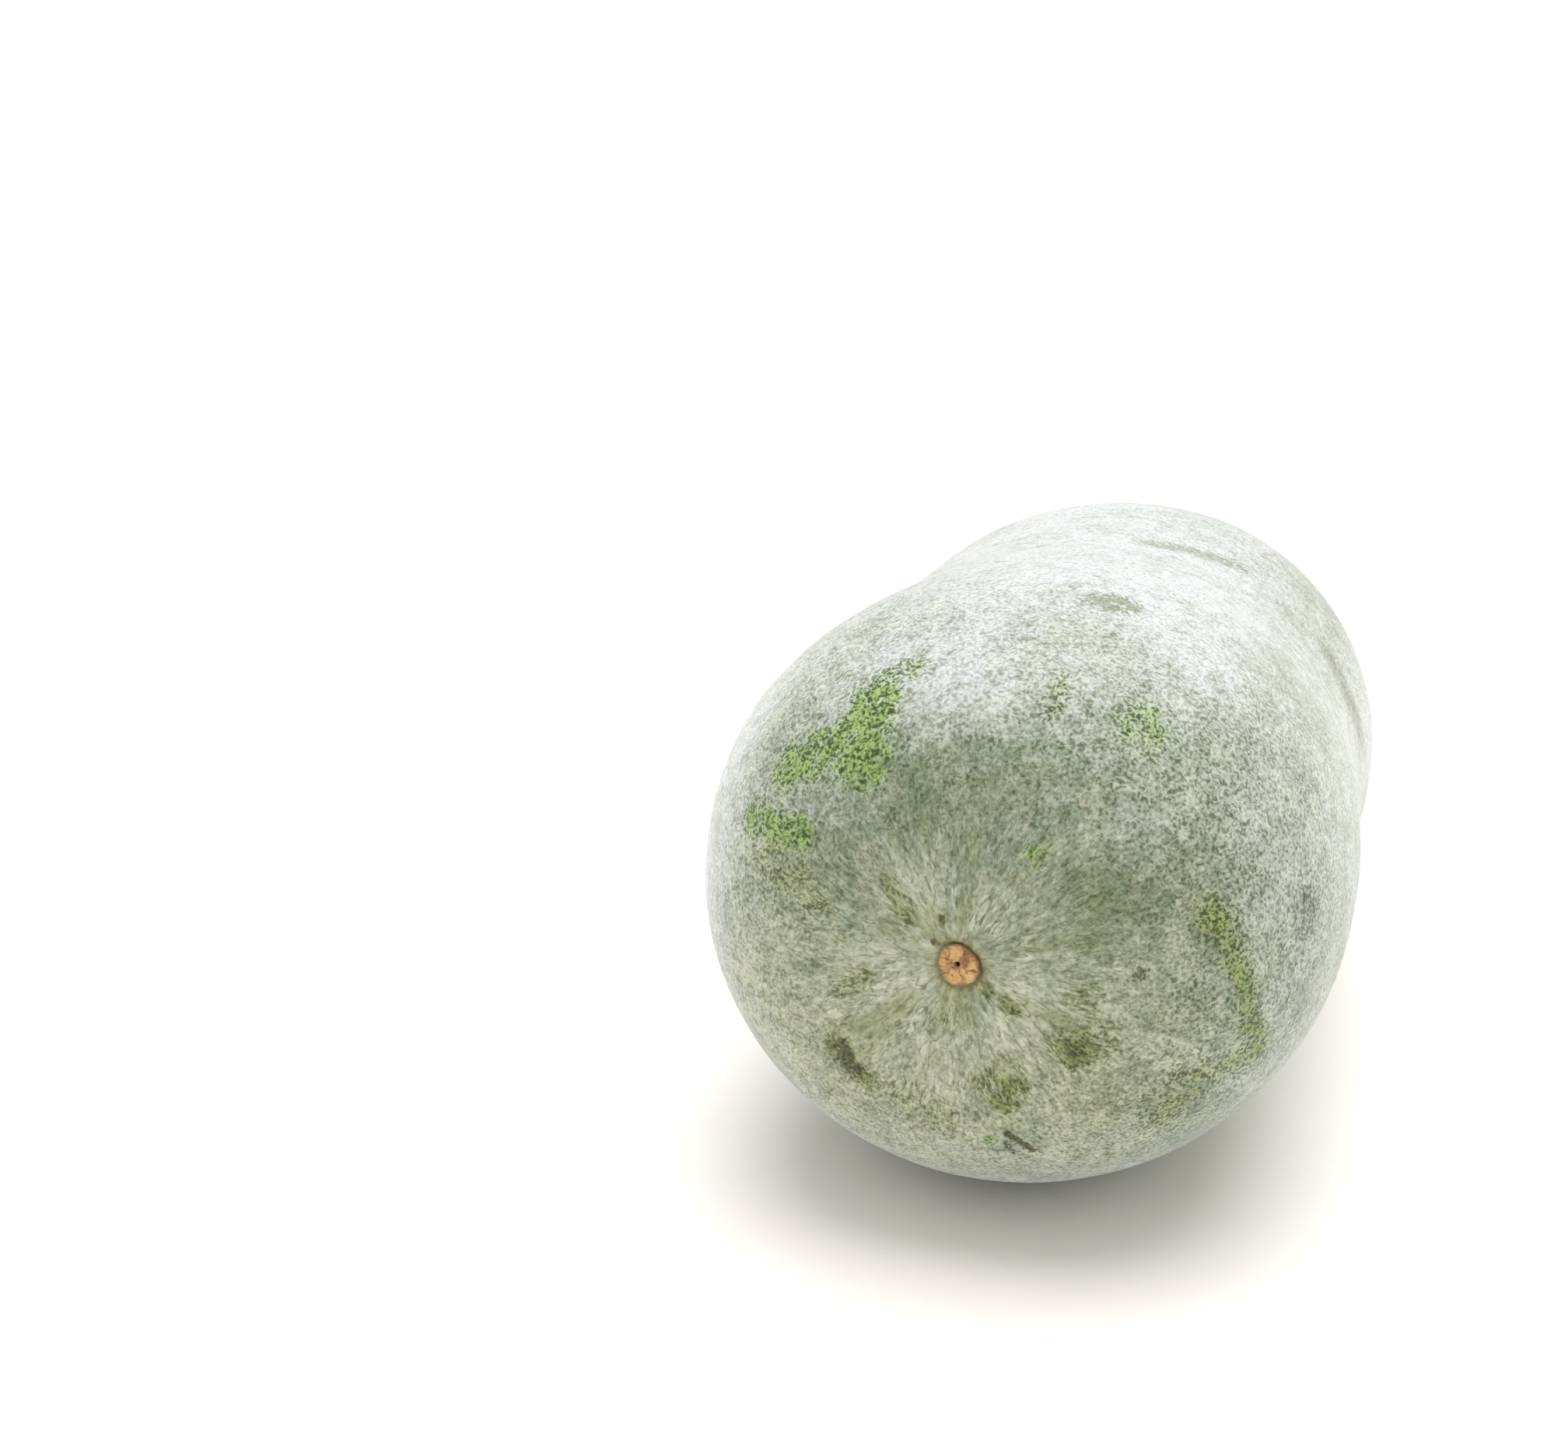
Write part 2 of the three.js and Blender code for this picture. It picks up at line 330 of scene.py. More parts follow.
relief = cork_height * cork - groove * GROOVE_DEPTH - pit * PIT_DEPTH + puckers
relief += smooth_noise(surface, 1.0 * MM, 12) * cork * (1 - pit) * CORK_ROUGHNESS
surface = surface + normals * (relief * MM)[:, :, None]
surface[:, :, 2] = np.maximum(surface[:, :, 2], 0)
print("the cork covers out to", round(float(out_mm[cork > 0.5].max()), 1), "mm from the pit")

# %% Make the fruit's mesh
# Four points of two neighbouring rings make a face, and a fan of triangles closes each end. The corners are
# listed so that every face looks outward.
pole_front = surface[0].mean(0)
pole_back = surface[-1].mean(0)
vertices = np.concatenate([surface.reshape(-1, 3), [pole_front, pole_back]])
ring_count = len(surface)
ring_starts = np.arange(ring_count - 1)[:, None] * AROUND
first = ring_starts + np.arange(AROUND)
following = ring_starts + (np.arange(AROUND) + 1) % AROUND
quads = np.stack([first, following, following + AROUND, first + AROUND], 2).reshape(-1, 4)
front_pole = ring_count * AROUND
last_ring = (ring_count - 1) * AROUND
faces = quads.tolist()
faces += [(front_pole, (j + 1) % AROUND, j) for j in range(AROUND)]
faces += [(front_pole + 1, last_ring + j, last_ring + (j + 1) % AROUND) for j in range(AROUND)]

fruit_mesh = bpy.data.meshes.new("gourd")
fruit_mesh.from_pydata(vertices.tolist(), [], faces)
fruit_mesh.update()
fruit_mesh.shade_smooth()
gourd = bpy.data.objects.new("gourd", fruit_mesh)
bpy.context.scene.collection.objects.link(gourd)
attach(gourd, "root")
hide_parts("fruit")
print("gourd:", len(vertices), "vertices,", len(faces), "faces")

# %% [markdown]
# ## Where the rind is rubbed, stained and thin
#
# The bloom is only a powder, so a fruit that has been picked, stacked and carried shows its history: bright
# green where a leaf or a hand wiped it, olive where it bruised, a long curved rub from a neighbour's edge.
# Each mark is a short route over the skin, given by clock positions round the scar and distances from it in
# millimetres, and it fades out over a width of its own. The marks are stored on the mesh as numbers between
# 0 and 1, and the material later breaks up their edges with the grain of the bloom.
#
# They could be painted by hand in texture paint, but that would need an image. Routes are plain to read, and
# every mark can be moved or made stronger by changing one line.

# %% A way to place marks
distance_rows = from_blossom[:, 0] / MM


def place(hour, away):
    """The point on the skin at a clock position, that many millimetres from the scar's middle."""
    ring = int(np.argmin(np.abs(distance_rows - away)))
    spot = int(round(hour / 12 * AROUND)) % AROUND
    return surface[ring, spot]


def marked(marks):
    """How strongly each vertex is marked, from 0 to 1, by a list of (route, width in mm, strength)."""
    strength = np.zeros(surface.shape[:2])
    for route, width, amount in marks:
        stops = [place(*stop) for stop in route]
        nearest = np.full(strength.shape, np.inf)
        for a, b in zip(stops, stops[1:] + stops[-1:]):
            run = b - a
            length = max(float(run @ run), 1e-12)
            t = np.clip(((surface - a) @ run) / length, 0, 1)
            nearest = np.minimum(nearest, np.linalg.norm(surface - a - t[:, :, None] * run, axis=2))
        strength = np.maximum(strength, amount * np.exp(-0.5 * (nearest / (width * MM)) ** 2))
    return strength


def store(name, values, pole_values):
    """Keeps one number for each vertex on the gourd's mesh, under a name that the material reads."""
    layer = fruit_mesh.attributes.new(name, "FLOAT", "POINT")
    layer.data.foreach_set("value", np.concatenate([values.reshape(-1), pole_values]).astype(np.float32))


# %% Place the marks
WIPED = (  # bright green, where the bloom was wiped off
    (((11.12, 90), (11.02, 82), (10.95, 70)), 6.6, 1.0),
    (((11.45, 99), (11.3, 98)), 4.0, 0.5),
    (((10.75, 79), (10.3, 85)), 5.6, 0.95),
    (((9.78, 84), (10.04, 64)), 4.2, 0.85),
    (((2.46, 79), (2.69, 84), (3.01, 88)), 3.6, 0.3),
    (((3.01, 88), (3.37, 95), (3.59, 104)), 3.0, 0.35),
    (((3.59, 104), (3.72, 96)), 4.5, 0.4),
    (((1.01, 45),), 4.0, 0.55),
    (((1.09, 98),), 8.0, 0.5),
    (((5.66, 64),), 1.8, 0.6),
    (((3.37, 95), (3.5, 101)), 5.0, 0.35),
)
OLIVE = (  # yellow-green and olive, where the skin shows through
    (((9.5, 53), (9.6, 66)), 11.0, 0.42),
    (((2.46, 79), (2.69, 84)), 4.6, 0.8),
    (((2.69, 84), (3.01, 88), (3.37, 95), (3.59, 104)), 3.2, 0.9),
    (((3.59, 104), (3.72, 96)), 5.0, 0.6),
    (((4.05, 46),), 4.4, 1.0),
    (((3.9, 40), (3.75, 50)), 6.0, 0.5),
    (((3.24, 41),), 6.0, 0.4),
    (((5.34, 47), (5.15, 43)), 3.6, 1.0),
    (((5.5, 40), (5.0, 37)), 4.0, 0.45),
    (((8.32, 41), (8.5, 30)), 4.0, 0.45),
    (((4.18, 83), (3.93, 84)), 9.0, 0.55),
    (((6.57, 53), (6.2, 56)), 8.0, 0.4),
    (((0.47, 99), (0.47, 86)), 4.0, 0.4),
    (((7.62, 53), (7.3, 54), (7.1, 55)), 3.4, 0.8),
    (((10.4, 22), (10.5, 34)), 3.5, 0.45),
    (((4.3, 12), (4.1, 24)), 2.2, 0.6),
    (((5.9, 15), (6.5, 21)), 3.0, 0.4),
)
BRUISED = (  # dark and greyish, where the rind was pressed
    (((7.6, 53), (7.4, 54)), 2.6, 0.9),
    (((7.22, 55),), 2.6, 0.6),
    (((2.89, 56),), 3.2, 0.5),
    (((3.1, 73),), 5.0, 0.4),
    (((1.95, 276), (2.14, 272), (2.42, 274)), 6.0, 0.4),
    (((2.75, 121),), 9.0, 0.45),
    (((4.05, 46),), 3.2, 0.5),
    (((5.45, 60), (5.36, 65)), 1.1, 1.0),
    (((5.33, 67), (5.28, 71)), 1.2, 1.0),
    (((5.52, 66), (5.47, 70)), 0.9, 0.9),
    (((11.25, 14.6), (11.3, 17)), 0.9, 1.0),
    (((10.4, 10.2), (10.35, 11)), 0.9, 0.9),
)
SCUFFED = (  # pale grey-green, where it leaned on its neighbours
    (((0.44, 147), (0.56, 151)), 4.6, 0.95),
    (((0.39, 249), (0.59, 259), (0.97, 274)), 5.0, 0.6),
    (((1.95, 276), (2.14, 272), (2.42, 274)), 7.0, 1.0),
)
THIN = (  # broad clouds where the bloom lies thin and the green rind shows
    (((11.6, 58), (0.35, 58), (0.9, 76)), 19.0, 0.9),
    (((1.63, 107), (1.2, 90)), 22.0, 0.6),
    (((1.91, 53), (2.1, 70)), 17.0, 0.8),
    (((2.31, 77), (2.7, 80)), 15.0, 0.6),
    (((2.9, 52), (3.3, 60)), 12.0, 0.35),
    (((10.6, 60), (10.2, 48)), 16.0, 0.55),
    (((8.0, 60), (7.0, 62)), 14.0, 0.3),
    (((5.2, 60), (4.2, 66)), 16.0, 0.4),
    (((11.0, 130), (10.6, 190)), 30.0, 0.45),
    (((5.0, 150), (6.5, 200), (7.5, 150)), 60.0, 0.35),
    (((8.5, 150), (8.8, 240)), 26.0, 0.5),
    (((6.0, 320), (9.0, 330), (2.0, 330)), 30.0, 0.45),
    (((3.2, 120), (3.0, 240)), 40.0, 0.7),
    (((2.2, 130), (2.0, 180)), 26.0, 0.55),
    (((4.0, 100), (4.4, 150)), 26.0, 0.6),
    (((10.3, 92),), 18.0, 0.6),
    (((0.9, 112), (0.3, 118)), 16.0, 0.5),
)

groups = {"wiped": WIPED, "olive": OLIVE, "bruised": BRUISED, "scuffed": SCUFFED, "thin": THIN}
for name, group in groups.items():
    values = marked(group)
    if name == "thin":
        round_stem = 1 - ramp(np.linalg.norm(surface - seat, axis=2), 14 * MM, 34 * MM)
        values = np.maximum(values, round_stem)  # the skin is barer round the stem too
    store(name, values, [0.0, 0.0])
    print(name, "covers", round(100 * float((values > 0.5).mean()), 1), "% of the points")

# %% Mark the parts of the scar
# How light each lobe is, in the order of CORK_LOBES: 0 is brown, 0.5 is peach, 1 is straw. The last is the
# middle, round the pit. Each lobe is also painted lighter towards its crown, as a painted highlight.
LOBE_TONES = np.array([0.6, 0.45, 0.5, 0.55, 0.8, 0.7, 0.25, 0.45, 0.45])
STAIN_REACH = 2.6  # how far out from the cork its stain goes, in mm

# Painted shade at the cork's rim, where it drops into the groove.
cork_rim_shade = 1 - ramp(-edge, 0.0, 0.8)
dark_line = np.exp(-(((edge - 0.4) / (0.7 + 0.7 * groove_here)) ** 2)) * groove_here
stain = np.exp(-((np.maximum(edge, 0) / STAIN_REACH) ** 2))
stain *= 0.55 + 0.3 * smooth_noise(surface, 2.2 * MM, 61)
store("cork", cork, [1.0, 0.0])
store("pit", pit, [1.0, 0.0])
# The "crease" layer is painted shade: browner in the creases, in the valleys between domes and at the cork's
# rim.
store("crease", np.clip(0.6 * crease + 0.4 * valley_shade + 0.4 * cork_rim_shade, 0, 1), [1.0, 0.0])
# Each lobe's own colour, with a painted highlight that lightens it towards its crown.
store("tone_and_highlight", LOBE_TONES[lobe_of] * (0.55 + 0.45 * ramp(highest, 0.3, 0.9)), [0.3, 0.0])
store("groove", np.clip(dark_line, 0, 1), [0.0, 0.0])
store("stain", np.clip(stain, 0, 1), [0.0, 0.0])
print("the scar has", len(LOBE_TONES), "tones and", len(fruit_mesh.attributes), "layers are on the mesh")

# %% Store the way to the ends
# A direction round the fruit's axis and a distance from its nearer end, the scar or the stem, so that streaks
# can be drawn that run towards it.
way = fruit_mesh.attributes.new("from_scar", "FLOAT_VECTOR", "POINT")
to_end = np.minimum(from_blossom, skin_length - from_blossom)
way_grid = np.stack([round_cos, round_sin, to_end], 2)
way_all = np.concatenate([way_grid.reshape(-1, 3), [[1, 0, 0], [1, 0, 0]]])
way.data.foreach_set("vector", way_all.reshape(-1).astype(np.float32))
print("the skin's middle is", round(float(to_end.max()) / MM), "mm from its nearer end")

# %% [markdown]
# ## Tools for materials
#
# A colour is written as an sRGB hex value, the way a paint shop names it, and turned into the linear light
# values that a render works with. One small function adds a node with its settings and links; everything
# else about a material is the choice of nodes and numbers.
#
# Some sockets are picked by their place. On a Math node, 0, 1 and 2 are the numbers it works on. On a Map
# Range node, 0 is the value, 1 and 2 are the span it is read over, and 3 and 4 are what the two ends of that
# span become, which is 0 and 1 unless they are given. On a Mix node, 0 is the share of the second input, and
# 2 and 3 are two numbers. Its two colours have names below.

# %% Two helpers for materials
MIX_A, MIX_B, MIX_COLOUR = 6, 7, 2  # the Mix node's colour sockets, by their place


def colour(hex_value, alpha=1.0):
    """An sRGB hex colour as linear values."""
    parts = [int(hex_value[i:i + 2], 16) / 255 for i in (1, 3, 5)]
    return tuple(c / 12.92 if c <= 0.04045 else ((c + 0.055) / 1.055) ** 2.4 for c in parts) + (alpha,)


def add(tree, kind, inputs=None, stops=None, **settings):
    """Adds a node. An input is a value, another node (its first output) or one output of a node."""
    node = tree.nodes.new("ShaderNode" + kind)
    for name, value in settings.items():
        setattr(node, name, value)
    for socket, value in (inputs or {}).items():
        if isinstance(value, bpy.types.Node):
            value = value.outputs[0]
        if isinstance(value, bpy.types.NodeSocket):
            tree.links.new(value, node.inputs[socket])
        else:
            node.inputs[socket].default_value = value
    for i, (position, shade) in enumerate(stops or ()):
        elements = node.color_ramp.elements
        element = elements[i] if i < 2 else elements.new(position)
        element.position = position
        element.color = shade
    return node


# %% [markdown]
# ## Waxy rind
#
# Common name: wax gourd rind under its bloom. The skin is a hard glossy green, and the wax that it sweats out
# dries on it as a powder of tiny crystals. To the eye the powder is matt and almost white. It lies in crumbs
# and short winding threads, one to two millimetres apart, and between them the green shows as dark flecks.
# Seen at a low angle there is more powder in the way, so the fruit's outline looks paler: that is what the
# sheen layer does.
#
# Round the blossom scar the skin stretched as the fruit swelled, and the threads were pulled out into streaks
# that run towards the scar. The bloom could be made of real grains scattered over the skin, but there would
# be millions of them, so it is a pattern of noise that steers both the colour and a slight bump.

# %% Waxy rind: the grain of the bloom
THREAD = 2.1 * MM  # one cell of the winding threads, a little coarser than the real ones
CRUMB = 1.1 * MM
CRUMB_SHARE = 0.76
STREAK_LENGTH = 3.4 * MM
# Streaks keep their width as they spread, so each ring of skin round the scar has its own count of them:
# how many cells for each radian, and the distance from the scar, in mm, at which this count is the right one.
STREAK_BANDS = ((7, 9), (16, 22), (34, 46), (66, 88))

rind = bpy.data.materials.new("waxy_rind")
rind.use_nodes = True
tree = rind.node_tree
tree.nodes.clear()
where = add(tree, "TexCoord").outputs["Object"]
way_node = add(tree, "Attribute", attribute_name="from_scar").outputs["Vector"]
way_parts = add(tree, "SeparateXYZ", {0: way_node})
distance = way_parts.outputs[2]


def worms(source):
    """Turns soft noise into winding threads: bright along the lines where the noise crosses its middle."""
    off_middle = add(tree, "Math", {0: source, 1: 0.5}, operation="SUBTRACT")
    off_middle = add(tree, "Math", {0: off_middle}, operation="ABSOLUTE")
    return add(tree, "MapRange", {0: off_middle, 1: 0.17, 2: 0.0})


grain_noise = add(
    tree, "TexNoise",
    {"Vector": where, "Scale": 1 / THREAD, "Detail": 1.0, "Roughness": 0.5, "Distortion": 0.5},
).outputs[0]
crumbs = add(tree, "TexNoise", {"Vector": where, "Scale": 1 / CRUMB, "Detail": 1.0}).outputs[0]
grain = add(tree, "Mix", {0: CRUMB_SHARE, 2: worms(grain_noise), 3: crumbs}).outputs[0]


def streaks_to_scar(bands, length, detail, distortion):
    """Noise drawn out along the way to the scar, with one layer for each band, each blended into the next."""
    result = None
    for i, (count, band) in enumerate(bands):
        stretch = (count, count, 1 / length)
        stretched = add(tree, "VectorMath", {0: way_node, 1: stretch}, operation="MULTIPLY")
        strands = add(
            tree, "TexNoise",
            {"Vector": stretched, "Scale": 1.0, "Detail": detail, "Roughness": 0.5, "Distortion": distortion},
        ).outputs[0]
        if result is None:
            result = strands
            continue
        span = {0: distance, 1: bands[i - 1][1] * MM, 2: band * MM}
        switch = add(tree, "MapRange", span, interpolation_type="SMOOTHSTEP")
        result = add(tree, "Mix", {0: switch, 2: result, 3: strands}).outputs[0]
    return result


streaks = streaks_to_scar(STREAK_BANDS, STREAK_LENGTH, 1.5, 0.9)
# The streaks give way to the plain grain between 20 and 105 mm from the scar.
to_grain = add(
    tree, "MapRange", {0: distance, 1: 20 * MM, 2: 105 * MM, 3: 0.25, 4: 1.0},
    interpolation_type="SMOOTHSTEP",
)
threads = add(tree, "Mix", {0: to_grain, 2: streaks, 3: grain}).outputs[0]
print("grain cell", THREAD / MM, "mm; streak bands", STREAK_BANDS)

# %% Waxy rind: how thick the bloom lies, with painted light on top and flanks
CLOUD = 22 * MM
MOTTLE = 5.5 * MM
BLOOM = 0.58  # how thick the bloom lies where nothing thickens or thins it, from 0 to 1

clouds = add(
    tree, "TexNoise", {"Vector": where, "Scale": 1 / CLOUD, "Detail": 4.0, "Roughness": 0.6},
).outputs[0]
mottle = add(
    tree, "TexNoise", {"Vector": where, "Scale": 1 / MOTTLE, "Detail": 3.0, "Roughness": 0.6},
).outputs[0]
thin_mark = add(tree, "Attribute", attribute_name="thin").outputs["Fac"]

# The bloom is painted paler on top, as painted light from overhead, and far out on the
# two flanks, as a painted sheen along the fruit's outline.
where_parts = add(tree, "SeparateXYZ", {0: where})
up_down = where_parts.outputs[2]
painted_top_light = add(tree, "MapRange", {0: up_down, 1: 140 * MM, 2: 196 * MM}, interpolation_type="SMOOTHSTEP")
to_side = add(tree, "Math", {0: where_parts.outputs[0]}, operation="ABSOLUTE")
painted_flank_sheen = add(tree, "MapRange", {0: to_side, 1: 66 * MM, 2: 104 * MM}, interpolation_type="SMOOTHSTEP")

# Each of these thickens or thins the bloom, and the two for the top and the flanks are painted light: its
# middle value, then how much it counts.
bloom_and_painted_light = None
for part, middle_value, weight in (
    (clouds, 0.5, 0.80),
    (mottle, 0.5, 0.85),
    (painted_top_light, 0.0, 0.36),
    (painted_flank_sheen, 0.0, 0.30),
    (thin_mark, 0.0, -0.60),
):
    offset = (BLOOM if bloom_and_painted_light is None else 0) - middle_value * weight
    part = add(tree, "Math", {0: part, 1: weight, 2: offset}, operation="MULTIPLY_ADD")
    bloom_and_painted_light = part if bloom_and_painted_light is None else add(tree, "Math", {0: bloom_and_painted_light, 1: part}, operation="ADD", use_clamp=True)
print("the bloom covers", BLOOM, "of the skin before it is thickened or thinned")

# %% Waxy rind: its colours
# From the thinnest bloom (0) to the thickest (1). It is cool on the flanks, and creamier round and below the
# scar.
COOL = ((0.0, "#7F8F70"), (1.0, "#D2D5D8"), (0.5, "#B1B8AD"))
WARM = ((0.0, "#8C926C"), (1.0, "#CDCDBE"), (0.5, "#BCBFA5"))
FLECK = "#868F70"  # what the bare skin between the threads takes away from that

low = add(tree, "MapRange", {0: up_down, 1: 185 * MM, 2: 60 * MM}, interpolation_type="SMOOTHSTEP")
near = add(tree, "MapRange", {0: distance, 1: 125 * MM, 2: 45 * MM}, interpolation_type="SMOOTHSTEP")
warmth = add(tree, "Math", {0: low, 1: near}, operation="MULTIPLY")
hue_noise = add(tree, "TexNoise", {"Vector": where, "Scale": 1 / (11 * MM), "Detail": 3.0}).outputs[0]
warmth_noise = add(tree, "Math", {0: hue_noise, 1: 2.2, 2: -1.1}, operation="MULTIPLY_ADD")
warmth = add(tree, "Math", {0: warmth, 1: warmth_noise}, operation="ADD", use_clamp=True)
# The bloom's tones are read with the painted light on top and flanks in them, so they are paler there.
cool_tone = add(tree, "ValToRGB", {0: bloom_and_painted_light}, stops=[(at, colour(shade)) for at, shade in COOL]).outputs[0]
warm_tone = add(tree, "ValToRGB", {0: bloom_and_painted_light}, stops=[(at, colour(shade)) for at, shade in WARM]).outputs[0]
pale = add(
    tree, "Mix", {0: warmth, MIX_A: cool_tone, MIX_B: warm_tone}, data_type="RGBA",
).outputs[MIX_COLOUR]
skin = add(
    tree, "Mix", {0: 1.0, MIX_A: pale, MIX_B: colour(FLECK)}, data_type="RGBA", blend_type="MULTIPLY",
).outputs[MIX_COLOUR]

# Flecks of skin are strong where the bloom is thin and faint where it is thick. In a mark they are sharper.
fleck_share = add(tree, "MapRange", {0: threads, 1: 0.65, 2: 0.33})
sharp_flecks = add(tree, "MapRange", {0: threads, 1: 0.60, 2: 0.40})
fleck_strength = add(tree, "MapRange", {0: bloom_and_painted_light, 1: 0.35, 2: 0.95, 3: 1.0, 4: 0.5})
print("the bloom goes from", COOL[0][1], "to", COOL[1][1])

# %% Waxy rind: the marks
# Each mark's edge is broken up by the grain, because the powder comes off in flecks and not along a line.
MARKS = (  # name, colour of the bloom left there, colour of the skin there
    ("scuffed", "#989D8A", "#6E765E"),
    ("olive", "#8C9460", "#3A431B"),
    ("wiped", "#8FA85F", "#2F4412"),
    ("bruised", "#525620", "#20240B"),
)
MOTTLE_PULL = 4.0  # how much a mark is broken up by the mottle
THREAD_PULL = -2.0  # how much the threads of bloom cover it

# Where a mark is broken up is the same for every mark.
ragged = add(tree, "Math", {0: mottle, 1: MOTTLE_PULL, 2: 0.3}, operation="MULTIPLY_ADD")
ragged = add(tree, "Math", {0: threads, 1: THREAD_PULL, 2: ragged}, operation="MULTIPLY_ADD")
bareness = 0.0
for name, left_over, bare in MARKS:
    mark = add(tree, "Attribute", attribute_name=name).outputs["Fac"]
    strength = add(tree, "Math", {0: ragged, 1: mark}, operation="MULTIPLY")
    share = add(tree, "MapRange", {0: strength, 1: 0.14, 2: 0.92}, interpolation_type="SMOOTHSTEP")
    on_pale = {0: share, MIX_A: pale, MIX_B: colour(left_over)}
    pale = add(tree, "Mix", on_pale, data_type="RGBA").outputs[MIX_COLOUR]
    on_skin = {0: share, MIX_A: skin, MIX_B: colour(bare)}
    skin = add(tree, "Mix", on_skin, data_type="RGBA").outputs[MIX_COLOUR]
    bareness = add(tree, "Math", {0: bareness, 1: share}, operation="MAXIMUM")

flecks = add(tree, "Math", {0: fleck_share, 1: fleck_strength}, operation="MULTIPLY")
flecks = add(tree, "Mix", {0: bareness, 2: flecks, 3: sharp_flecks}).outputs[0]
print("marks:", [name for name, left_over, bare in MARKS])

# %% Waxy rind: rays, cracks and the tan round the scar
# Broad faint rays of olive skin run out from the scar, and thin dark lines where the skin cracked as it grew.
# A crack is where the noise crosses its middle value.
RAY_BANDS = ((2.2, 9), (4.5, 60))  # as for the streaks
RAY_LENGTH = 40 * MM
LINE_BANDS = ((3, 9), (7, 22), (15, 46))
LINE_LENGTH = 11 * MM

rays = streaks_to_scar(RAY_BANDS, RAY_LENGTH, 2.0, 0.3)
ray_here = add(tree, "MapRange", {0: distance, 1: 75 * MM, 2: 20 * MM}, interpolation_type="SMOOTHSTEP")
ray_share = add(tree, "MapRange", {0: rays, 1: 0.47, 2: 0.66, 4: 0.7}, interpolation_type="SMOOTHSTEP")
ray_share = add(tree, "Math", {0: ray_share, 1: ray_here}, operation="MULTIPLY")
pale = add(
    tree, "Mix", {0: ray_share, MIX_A: pale, MIX_B: colour("#8F9466")}, data_type="RGBA",
).outputs[MIX_COLOUR]

lines = streaks_to_scar(LINE_BANDS, LINE_LENGTH, 0.0, 0.8)
off_line = add(tree, "Math", {0: lines, 1: 0.5}, operation="SUBTRACT")
off_line = add(tree, "Math", {0: off_line}, operation="ABSOLUTE")
line = add(tree, "MapRange", {0: off_line, 1: 0.035, 2: 0.0, 4: 0.8})
line_some = add(tree, "MapRange", {0: mottle, 1: 0.47, 2: 0.56})
line_near = add(tree, "MapRange", {0: distance, 1: 78 * MM, 2: 35 * MM})
line = add(tree, "Math", {0: line, 1: line_some}, operation="MULTIPLY")
line = add(tree, "Math", {0: line, 1: line_near}, operation="MULTIPLY")

# Close round the scar the skin is tinged tan by the cork that grows into it.
tan_span = {0: distance, 1: 14 * MM, 2: 6 * MM, 4: 0.7}
tan_here = add(tree, "MapRange", tan_span, interpolation_type="SMOOTHSTEP")
tan_ragged = add(tree, "MapRange", {0: threads, 1: 0.35, 2: 0.6})
tan_share = add(tree, "Math", {0: tan_here, 1: tan_ragged}, operation="MULTIPLY")
pale = add(
    tree, "Mix", {0: tan_share, MIX_A: pale, MIX_B: colour("#B0A484")}, data_type="RGBA",
).outputs[MIX_COLOUR]
coated = add(tree, "Mix", {0: flecks, MIX_A: pale, MIX_B: skin}, data_type="RGBA").outputs[MIX_COLOUR]
coated = add(
    tree, "Mix", {0: line, MIX_A: coated, MIX_B: colour("#4F5733")}, data_type="RGBA",
).outputs[MIX_COLOUR]
print("rays are", RAY_LENGTH / MM, "mm long and cracks", LINE_LENGTH / MM, "mm")

# %% Waxy rind: the cork of the scar
# Cork is dead, dry cells: matt, and brown in the creases, peach on the flanks of a lobe, straw on its crown.
# The brown of the creases is painted shade, and the lighter crowns are a painted highlight over each lobe's
# own colour.
crease_shade_mark = add(tree, "Attribute", attribute_name="crease").outputs["Fac"]
tone_and_highlight_mark = add(tree, "Attribute", attribute_name="tone_and_highlight").outputs["Fac"]
cork_grain = add(
    tree, "TexNoise", {"Vector": where, "Scale": 1 / (0.9 * MM), "Detail": 3.0, "Roughness": 0.65},
).outputs[0]
tone_grain = add(tree, "Math", {0: cork_grain, 1: 2.0, 2: -1.0}, operation="MULTIPLY_ADD")
# The lobe's own colour and its painted highlight, broken up by the cork's grain.
tone_and_highlight_mixed = add(tree, "Math", {0: tone_and_highlight_mark, 1: tone_grain}, operation="ADD", use_clamp=True)
cork_colour = add(
    tree, "ValToRGB", {0: tone_and_highlight_mixed},
    stops=(
        (0.0, colour("#744C26")),
        (1.0, colour("#CFB57E")),
        (0.35, colour("#AF8556")),
        (0.65, colour("#C6A068")),
    ),
).outputs[0]
# Painted shade: the creases, valleys and rim of the cork are mixed towards brown.
crease_shade_grain = add(tree, "Math", {0: cork_grain, 1: 0.8, 2: -0.4}, operation="MULTIPLY_ADD")
crease_shade_mixed = add(tree, "Math", {0: crease_shade_mark, 1: crease_shade_grain}, operation="ADD", use_clamp=True)
cork_colour = add(
    tree, "Mix", {0: crease_shade_mixed, MIX_A: cork_colour, MIX_B: colour("#84603A")}, data_type="RGBA",
).outputs[MIX_COLOUR]

# Each of these is laid over the ones before it.
base = coated
for name, shade in (
    ("stain", colour("#7D7A45")),
    ("groove", colour("#54481D")),
    ("cork", cork_colour),
    ("pit", colour("#2A1408")),
):
    here = add(tree, "Attribute", attribute_name=name).outputs["Fac"]
    base = add(tree, "Mix", {0: here, MIX_A: base, MIX_B: shade}, data_type="RGBA").outputs[MIX_COLOUR]
print("the rind's colour takes", len(tree.nodes), "nodes")

